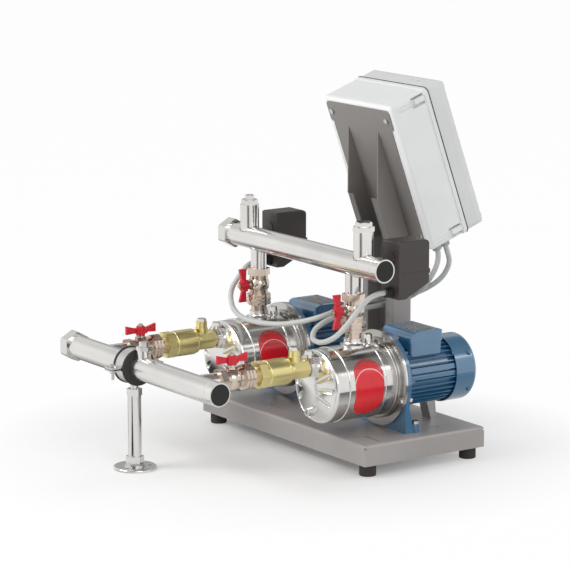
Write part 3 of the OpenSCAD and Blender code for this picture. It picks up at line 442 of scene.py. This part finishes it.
class BOOSTER_OT_frame_finish(bpy.types.Operator):
    """Finishes the tray, feet, column, bracket, bolts and pole"""

    bl_idname = "booster.frame_finish"
    bl_label = "Tray and column"

    def execute(self, context):
        colours = context.scene.booster_colours
        dress(sheet_finish("tray_sheet", tuple(colours.tray), 0.3), "tray_steel", "base_tray")
        # The bracket's darker sheet colour is painted shade.
        dress(sheet_finish("bracket_sheet", tuple(colours.bracket), 0.34), "panel_steel", "panel_bracket")
        dress(sheet_finish("column_sheet", tuple(colours.column), 0.34), "panel_steel", "panel_column")
        dress(rubber_finish("foot_rubber", tone(52, 46, 45)), "black_rubber", "base_feet", "clamp_liner")
        zinc = polished_finish("zinc_plate", tone(206, 206, 203), 0.16, (1, 1, 1))
        dress(zinc, "zinc", "frame_bolts", "pump_bolts", "pipe_clamp", "hinge_pins", "mounting_plate")
        dress(polished_finish("pole_chrome", tone(220, 219, 217), 0.09, (1, 1, 0.05)), "zinc", "support_pole")
        return {"FINISHED"}


class BOOSTER_OT_panel_finish(bpy.types.Operator):
    """Finishes the enclosure, its lid, its fittings and what is inside it"""

    bl_idname = "booster.panel_finish"
    bl_label = "Panel"

    def lay_bead(self, context, material):
        """Lays the gasket's rounded lip in the seam between the enclosure's halves."""
        half_wide, half_tall, corner, seam, middle = 122, 165, 12, 96.9, 152
        fall, rise = math.sin(PANEL_TILT), math.cos(PANEL_TILT)
        curve = bpy.data.curves.new("gasket_lip", "CURVE")
        curve.dimensions = "3D"
        curve.bevel_depth = context.scene.booster_sizes.lip
        curve.bevel_resolution = 2
        spline = curve.splines.new("POLY")
        spline.use_cyclic_u = True
        steps = 8
        spline.points.add(4 * steps + 3)
        for i, point in enumerate(spline.points):
            quarter, step = divmod(i, steps + 1)
            turn = math.pi / 2 * (quarter + step / steps)
            east = 1 if quarter in (0, 3) else -1
            north = 1 if quarter < 2 else -1
            x = east * (half_wide - corner) + corner * math.cos(turn)
            z = north * (half_tall - corner) + corner * math.sin(turn) + middle
            place = at(x, PANEL_FOOT_Y + seam * rise - z * fall, PANEL_FOOT_Z + seam * fall + z * rise)
            point.co = (*place, 1)
        curve.materials.append(material)
        lip = bpy.data.objects.new("gasket_lip", curve)
        context.scene.collection.objects.link(lip)
        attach(lip, "lid")

    def execute(self, context):
        colours = context.scene.booster_colours
        shell = moulded_finish("enclosure_shell", tuple(colours.enclosure), 0.42, 700, 0.1)
        dress(shell, "panel_plastic", "enclosure_body")
        # The lid is the same plastic as the body, its colour darkened to 0.86: painted shade.
        lid = moulded_finish("lid_shell", shaded(tuple(colours.enclosure), 0.86), 0.42, 700, 0.1)
        dress(lid, "panel_plastic", "enclosure_lid")
        dark = rubber_finish("gasket_rubber", tone(40, 38, 38))
        dress(dark, "black_rubber", "lid_gasket")
        self.lay_bead(context, dark)
        device = moulded_finish("device_shell", tone(60, 63, 66), 0.45)
        dress(device, "device_plastic", "contactors", "lid_fittings")
        terminal = moulded_finish("terminal_shell", tone(190, 192, 186), 0.5)
        dress(terminal, "terminal_plastic", "terminal_strip")
        gland = moulded_finish("gland_shell", tone(176, 178, 178), 0.4)
        dress(gland, "gland_plastic", "cable_glands", "lid_screws")
        second_coat("cable_glands", moulded_finish("switch_gland", tone(44, 41, 41), 0.4),
                    lambda middle: middle.z < SWITCH_GLANDS_TOP)
        dress(moulded_finish("knob_red", tone(205, 30, 40), 0.3), "red_plastic", "main_switch_knob")
        return {"FINISHED"}


class BOOSTER_OT_pipe_finish(bpy.types.Operator):
    """Finishes the manifolds, caps, plugs and nipples"""

    bl_idname = "booster.pipe_finish"
    bl_label = "Pipework"

    def execute(self, context):
        colours = context.scene.booster_colours
        pipe = polished_finish("pipe_polish", tuple(colours.stainless), 0.14, (0.05, 1, 1))
        dress(pipe, "stainless", "suction_manifold", "delivery_manifold", "impellers_a", "impellers_b",
              "diffusers")
        nickel = plated_finish("fitting_nickel", tuple(colours.nickel), 0.13)
        dress(nickel, "nickel", "pipe_nipples", "valve_bodies", "union_nuts", "suction_ball_a",
              "suction_ball_b", "delivery_ball_a", "delivery_ball_b")
        chrome = polished_finish("cap_chrome", tone(222, 220, 217), 0.09, (1, 1, 1))
        dress(chrome, "nickel", "end_caps", "pipe_plugs")
        # The near-black end plugs stand for the unlit inside of the open pipe ends: painted shade.
        dress(moulded_finish("end_plug_black", tone(22, 21, 21), 0.6), "plug_plastic", "end_plugs")
        dress(moulded_finish("seat_white", tone(232, 230, 224), 0.4), "seat_plastic", "valve_seats")
        return {"FINISHED"}


class BOOSTER_OT_valve_finish(bpy.types.Operator):
    """Finishes the valve handles, check valves and pressure switches"""

    bl_idname = "booster.valve_finish"
    bl_label = "Valves and switches"

    def execute(self, context):
        colours = context.scene.booster_colours
        handle = moulded_finish("handle_red", tuple(colours.handle), 0.3, 500, 0.06)
        dress(handle, "red_plastic", "suction_handle_a", "suction_handle_b", "delivery_handle_a",
              "delivery_handle_b")
        dress(brass_finish(tuple(colours.brass)), "brass", "check_valves", "poppet_a", "poppet_b")
        switch = moulded_finish("switch_shell", tuple(colours.switch), 0.4, 600, 0.2)
        dress(switch, "switch_plastic", "pressure_switches")
        return {"FINISHED"}


class BOOSTER_OT_springs(bpy.types.Operator):
    """Winds the return springs of the check valves at one fixed length; they do not shorten as the poppets
    lift
    """

    bl_idname = "booster.springs"
    bl_label = "Check valve springs"

    def execute(self, context):
        material = polished_finish("spring_wire", tone(200, 200, 198), 0.2, (1, 1, 1))
        wire, coil, turns, steps, sides, kept = 0.0009, 0.009, 5, 20, 8, 0.72
        along = Vector((0, 1, 0))

        def wind(mesh, start, end):
            rings = []
            for i in range(turns * steps + 1):
                turn = math.tau * i / steps
                out = Vector((-math.cos(turn), 0, math.sin(turn)))
                middle = start.lerp(end, i / (turns * steps)) + out * coil
                rings.append([mesh.verts.new(middle + wire * (out * math.cos(math.tau * k / sides)
                                                              + along * math.sin(math.tau * k / sides)))
                              for k in range(sides)])
            for here, after in zip(rings, rings[1:]):
                for k in range(sides):
                    mesh.faces.new((here[k], here[k - 1], after[k - 1], after[k])).smooth = True
            mesh.faces.new(rings[0])
            mesh.faces.new(reversed(rings[-1]))
            bmesh.ops.recalc_face_normals(mesh, faces=mesh.faces)

        for letter, x in (("a", PUMP_X), ("b", -PUMP_X)):
            low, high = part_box("spring_" + letter)
            start, end = Vector((x, low.y, SUCTION_Z)), Vector((x, high.y, SUCTION_Z))
            spring = piece("return_spring_" + letter,
                           lambda mesh: wind(mesh, start + along * wire, end - along * wire),
                           material)
            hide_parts("spring_" + letter)
            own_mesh(spring)
        return {"FINISHED"}


class BOOSTER_OT_pump_finish(bpy.types.Operator):
    """Finishes the pump casings, clamp rings, motors and rotors"""

    bl_idname = "booster.pump_finish"
    bl_label = "Pumps and motors"

    def execute(self, context):
        colours = context.scene.booster_colours
        casing = polished_finish("casing_polish", tuple(colours.stainless), 0.12, (1, 0.05, 1), 0.5)
        dress(casing, "casing_steel", "pump_casings")
        ring = polished_finish("ring_steel", tone(196, 194, 191), 0.18, (1, 1, 1))
        dress(ring, "casing_steel", "clamp_rings")
        paint = paint_finish("motor_paint", tuple(colours.motor), 0.32, 500, 0.0005)
        dress(paint, "motor_paint", "motor_frames", "fan_covers", "motor_brackets")
        rest = polished_finish("rest_zinc", tone(202, 203, 202), 0.2, (1, 1, 1))
        second_coat("motor_brackets", rest, lambda middle: middle.y > TRAY_Y + REAR_REST_Y)
        box_paint = paint_finish("terminal_box_paint", tuple(colours.motor), 0.36, 260, 0.0012)
        dress(box_paint, "motor_paint", "terminal_boxes")
        second_coat("terminal_boxes", plate_finish(),
                    lambda middle: middle.z > SHAFT_Z + PLATE_RISE
                    and abs(abs(middle.x) - PUMP_X) < PLATE_HALF_WIDE)
        steel = polished_finish("shaft_steel", tone(170, 172, 172), 0.25, (1, 0.1, 1))
        dress(steel, "shaft_steel", "rotor_a", "rotor_b", "bearings")
        dress(plated_finish("winding_copper", tone(176, 110, 66), 0.35), "winding", "stators")
        fan = moulded_finish("fan_black", tone(48, 52, 54), 0.5)
        dress(fan, "fan_plastic", "cooling_fan_a", "cooling_fan_b")
        return {"FINISHED"}


class BOOSTER_OT_labels(bpy.types.Operator):
    """Wraps a plain round-ended label on the side of each pump casing"""

    bl_idname = "booster.labels"
    bl_label = "Pump labels"

    def execute(self, context):
        film = context.scene.booster_sizes.label_stand
        material = label_finish(tuple(context.scene.booster_colours.label))
        half_wide, half_tall, radius, middle_y = 0.035, 0.0635, 0.07612, -0.102 + TRAY_Y

        def wrap(mesh, x):
            bmesh.ops.create_grid(mesh, x_segments=24, y_segments=64, size=1)
            print_at = mesh.loops.layers.uv.new("label")
            flat = {}
            for vert in mesh.verts:
                along = vert.co.y * half_tall
                past = max(0, abs(along) - half_tall + half_wide)
                across = vert.co.x * math.sqrt(max(0, half_wide ** 2 - past ** 2))
                flat[vert] = (across, along)
                angle = along / radius
                vert.co = (x + radius * math.cos(angle), middle_y + across,
                           SHAFT_Z + radius * math.sin(angle))
            for face in mesh.faces:
                face.smooth = True
                for loop in face.loops:
                    across, along = flat[loop.vert]
                    loop[print_at].uv = (across / half_wide / 2, along / half_wide / 2)
            bmesh.ops.remove_doubles(mesh, verts=mesh.verts, dist=0.000001)
            bmesh.ops.recalc_face_normals(mesh, faces=mesh.faces)
            outer = bmesh.ops.extrude_face_region(mesh, geom=list(mesh.faces))["geom"]
            for vert in (g for g in outer if isinstance(g, bmesh.types.BMVert)):
                away = Vector((vert.co.x - x, 0, vert.co.z - SHAFT_Z)).normalized()
                vert.co += away * film
            bmesh.ops.recalc_face_normals(mesh, faces=mesh.faces)

        for name, x in (("pump_label_a", PUMP_X), ("pump_label_b", -PUMP_X)):
            piece(name, lambda mesh: wrap(mesh, x), material)
        return {"FINISHED"}


class BOOSTER_OT_welds(bpy.types.Operator):
    """Lays a weld bead round every branch of the two manifolds"""

    bl_idname = "booster.welds"
    bl_label = "Weld beads"

    def execute(self, context):
        bead = context.scene.booster_sizes.bead
        material = plated_finish("weld_bead", tone(190, 187, 183), 0.2)
        header, branch, gauge, tank, switch = 0.02415, 0.01685, 0.014, 0.020, 0.011
        tank_x, switch_x = 0.204, 0.216
        suction, delivery = (0, -480, 211), (0, -90, 410)
        up, down, back = Vector((0, 0, 1)), Vector((0, 0, -1)), Vector((0, 1, 0))
        joints = [("suction_a", suction, PUMP_X, back, branch), ("suction_b", suction, -PUMP_X, back, branch),
                  ("suction_gauge", suction, 0, up, gauge), ("delivery_a", delivery, PUMP_X, down, branch),
                  ("delivery_b", delivery, -PUMP_X, down, branch), ("tank_a", delivery, tank_x, up, tank),
                  ("tank_b", delivery, -tank_x, up, tank), ("switch_a", delivery, switch_x, back, switch),
                  ("switch_b", delivery, -switch_x, back, switch)]
        for name, line, x, out, radius in joints:
            middle = at(*line) + Vector((x, 0, 0))
            aside = out.cross(Vector((1, 0, 0)))
            curve = bpy.data.curves.new("weld_" + name, "CURVE")
            curve.dimensions = "3D"
            curve.bevel_depth = bead
            curve.bevel_resolution = 3
            curve.resolution_u = 3
            spline = curve.splines.new("BEZIER")
            count = 40
            spline.bezier_points.add(count - 1)
            spline.use_cyclic_u = True
            for i, knot in enumerate(spline.bezier_points):
                turn = math.tau * i / count
                across = radius * math.sin(turn)
                knot.co = (middle + Vector((1, 0, 0)) * radius * math.cos(turn) + aside * across
                           + out * math.sqrt(header ** 2 - across ** 2))
                knot.handle_left_type = knot.handle_right_type = "AUTO"
                knot.radius = 1 + 0.14 * math.sin(9 * turn + radius * 700)
            curve.materials.append(material)
            obj = bpy.data.objects.new("weld_" + name, curve)
            context.scene.collection.objects.link(obj)
            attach(obj, "set")
        return {"FINISHED"}


def stage_disc(name, radius, place, facing=Vector((0, 0, 1)), squash=1.0):
    """A round or oval sheet of the stage, turned to face a direction."""
    mesh = bpy.data.meshes.new(name)
    made = bmesh.new()
    bmesh.ops.create_circle(made, cap_ends=True, segments=96, radius=radius)
    made.to_mesh(mesh)
    made.free()
    disc = bpy.data.objects.new(name, mesh)
    disc.location = place
    disc.rotation_euler = facing.to_track_quat("Z", "Y").to_euler()
    disc.scale.y = squash
    bpy.context.scene.collection.objects.link(disc)
    return disc


def flag(disc, grey, fade_from, fade_to):
    """Turns a stage sheet into a dark studio flag with a soft rim, which only shiny surfaces mirror."""
    f = Finish(disc.name + "_cloth")
    disc.data.materials.append(f.material)
    reach = f.node("ShaderNodeVectorMath", {"operation": "LENGTH"}, {0: f.coords()}, "Value")
    open_air = f.ramp(reach * (0.5 / fade_to), (0.5 * fade_from / fade_to, 0), (0.5, 1))
    cloth = f.node("ShaderNodeEmission", None, {"Color": (grey, grey, grey, 1), "Strength": 1.0})
    clear = f.node("ShaderNodeBsdfTransparent")
    f.feed(f.output.inputs["Surface"], f.node("ShaderNodeMixShader", None, {0: open_air, 1: cloth, 2: clear}))
    disc.visible_camera = disc.visible_diffuse = disc.visible_shadow = disc.visible_transmission = False


class BOOSTER_OT_stage(bpy.types.Operator):
    """Adds the pale floor, the soft light, the dark flags and the white surroundings"""

    bl_idname = "booster.stage"
    bl_label = "Stage"

    def surround(self, context):
        """White surroundings to look at and to mirror, and an even fill light from all round."""
        world = bpy.data.worlds.new("surroundings")
        world.use_nodes = True
        context.scene.world = world
        nodes, join = world.node_tree.nodes, world.node_tree.links.new
        nodes.clear()
        path = nodes.new("ShaderNodeLightPath")
        seen = None
        for ray in SEEN_RAYS:
            either = nodes.new("ShaderNodeMath")
            either.operation = "MAXIMUM"
            either.inputs[0].default_value = 0
            if seen:
                join(seen, either.inputs[0])
            join(path.outputs[ray], either.inputs[1])
            seen = either.outputs[0]
        mix = nodes.new("ShaderNodeMixShader")
        join(seen, mix.inputs[0])
        for socket, strength in ((1, WORLD_FILL), (2, WORLD_WHITE)):
            sky = nodes.new("ShaderNodeBackground")
            sky.inputs["Color"].default_value = (1, 1, 1, 1)
            sky.inputs["Strength"].default_value = strength
            join(sky.outputs[0], mix.inputs[socket])
        join(mix.outputs[0], nodes.new("ShaderNodeOutputWorld").inputs["Surface"])

    def execute(self, context):
        floor = stage_disc("floor", 14, (0, 0, -0.0005))
        f = Finish("floor_paper")
        floor.data.materials.append(f.material)
        f.surface(Base_Color=(0.95, 0.95, 0.95), Roughness=0.6, Specular_IOR_Level=0.2)
        reach = f.node("ShaderNodeVectorMath", {"operation": "LENGTH"}, {0: f.coords()}, "Value")
        camera, glossy, through = [f.node("ShaderNodeLightPath", out=ray) for ray in SEEN_RAYS]
        fade = (f.ramp(reach * 0.5, (0.1, 0.1), (0.34, 0.97))
                * camera.math("MAXIMUM", glossy).math("MAXIMUM", through))
        glow = f.node("ShaderNodeEmission", None, {"Color": (1, 1, 1, 1), "Strength": 1.0})
        shade = Value(f, f.shader.outputs["BSDF"])
        both = f.node("ShaderNodeMixShader", None, {0: fade, 1: shade, 2: glow})
        f.feed(f.output.inputs["Surface"], both)
        up = Vector((0, 0, 1))
        behind, left, near = Vector((-0.824, 0.566, 0)), Vector((-0.99, -0.14, 0)), Vector((0.52, -0.854, 0))
        flags = [("low_flag", 0.6, Vector((-0.5, -0.05, 0.001)), up, 1.0, 0.04, 0.15, 0.5),
                 ("right_flag", 0.6, Vector((0.64, 0.35, 0.001)), up, 1.0, 0.1, 0.05, 0.58),
                 ("high_flag", 3.1, Vector((0.5, 1.0, 2.1)), -up, 1.0, 0.2, 1.7, 3.0),
                 ("back_flag", 1.8, behind * 2.8 + up * 0.7, -behind, 1.0, 0.45, 0.7, 1.7),
                 ("left_flag", 2.0, left * 2.6 + up * 2.2, -left, 0.55, 0.74, 0.7, 1.95),
                 ("near_flag", 0.45, near * 1.1 + up * 0.2, -near, 1.0, 0.1, 0.12, 0.4)]
        for name, radius, place, facing, squash, grey, dark_to, clear_from in flags:
            flag(stage_disc(name, radius, place, facing, squash), grey, dark_to, clear_from)
        away = Vector((0.15, -0.475, 0))
        strip = stage_disc("floor_flag", 0.5, at(-38, -480, 1) + away, up, 0.2)
        strip.rotation_euler.z = math.atan2(away.y, away.x)
        flag(strip, 0.03, 0.36, 0.5)

        self.surround(context)
        for name, place, size, power in LAMPS:
            lamp = bpy.data.lights.new(name, "AREA")
            lamp.energy = power
            lamp.size = size
            holder = bpy.data.objects.new(name, lamp)
            holder.location = place
            holder.rotation_euler = (Vector((0, 0, 0.3)) - Vector(place)).to_track_quat("-Z", "Y").to_euler()
            context.scene.collection.objects.link(holder)
        context.scene.view_settings.view_transform = "Standard"
        return {"FINISHED"}


OPERATORS = [BOOSTER_OT_camera, BOOSTER_OT_cables, BOOSTER_OT_frame_finish, BOOSTER_OT_panel_finish,
             BOOSTER_OT_pipe_finish, BOOSTER_OT_valve_finish, BOOSTER_OT_springs, BOOSTER_OT_pump_finish,
             BOOSTER_OT_labels, BOOSTER_OT_welds, BOOSTER_OT_stage]


class BOOSTER_PT_panel(bpy.types.Panel):
    """Lists the set's steps, colours and sizes"""

    bl_idname = "BOOSTER_PT_panel"
    bl_label = "Booster Set"
    bl_space_type = "VIEW_3D"
    bl_region_type = "UI"
    bl_category = "Booster Set"

    def draw(self, context):
        for step in OPERATORS:
            self.layout.operator(step.bl_idname)
        for group in (context.scene.booster_sizes, context.scene.booster_colours):
            for key in group.__annotations__:
                self.layout.prop(group, key)


CLASSES = [BoosterColours, BoosterSizes, *OPERATORS, BOOSTER_PT_panel]


def register():
    for cls in CLASSES:
        bpy.utils.register_class(cls)
    bpy.types.Scene.booster_colours = PointerProperty(type=BoosterColours)
    bpy.types.Scene.booster_sizes = PointerProperty(type=BoosterSizes)


def unregister():
    del bpy.types.Scene.booster_sizes
    del bpy.types.Scene.booster_colours
    for cls in reversed(CLASSES):
        bpy.utils.unregister_class(cls)


def main():
    register()
    bpy.ops.booster.camera()
    bpy.ops.booster.cables()
    bpy.ops.booster.frame_finish()
    bpy.ops.booster.panel_finish()
    bpy.ops.booster.pipe_finish()
    bpy.ops.booster.valve_finish()
    bpy.ops.booster.springs()
    bpy.ops.booster.pump_finish()
    bpy.ops.booster.labels()
    bpy.ops.booster.welds()
    bpy.ops.booster.stage()


if __name__ == "__main__":
    main()
